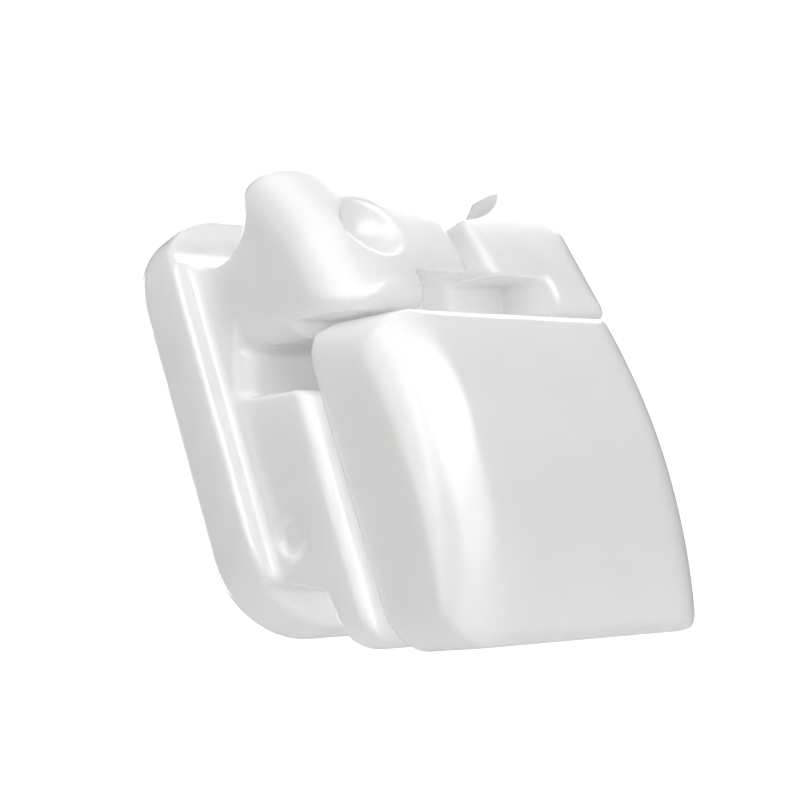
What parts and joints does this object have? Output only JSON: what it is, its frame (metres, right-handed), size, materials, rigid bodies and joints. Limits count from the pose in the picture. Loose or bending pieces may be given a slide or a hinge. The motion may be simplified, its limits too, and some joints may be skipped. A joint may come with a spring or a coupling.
{
  "type": "orthodontic bracket",
  "caption": "Ceramic self-ligating orthodontic bracket with a rounded bonding pad, tie wings, an archwire slot and a curved sliding door.",
  "frame": {"origin": "centre of the bonding face, on the tooth side of the pad", "axes": "+X along the dental arch, +Y towards the tooth, +Z towards the gum; the door faces -Y"},
  "size_m": [0.004, 0.0027, 0.0048],
  "materials": {
    "bracket_ceramic": "injection-moulded, sintered and tumbled translucent white alumina",
    "door_ceramic": "injection-moulded, sintered and polished translucent white alumina",
    "nickel_titanium": "drawn nickel-titanium tube, slit"
  },
  "bodies": {
    "bracket": {"bracket_body": "bracket_ceramic", "spring_pin": "nickel_titanium"},
    "door": {"sliding_door": "door_ceramic"}
  },
  "joints": [
    {"name": "door_slide", "type": "slide", "parent": "bracket", "child": "door", "axis": [0, 0, -1], "range_m": [0, 0.0007]}
  ]
}
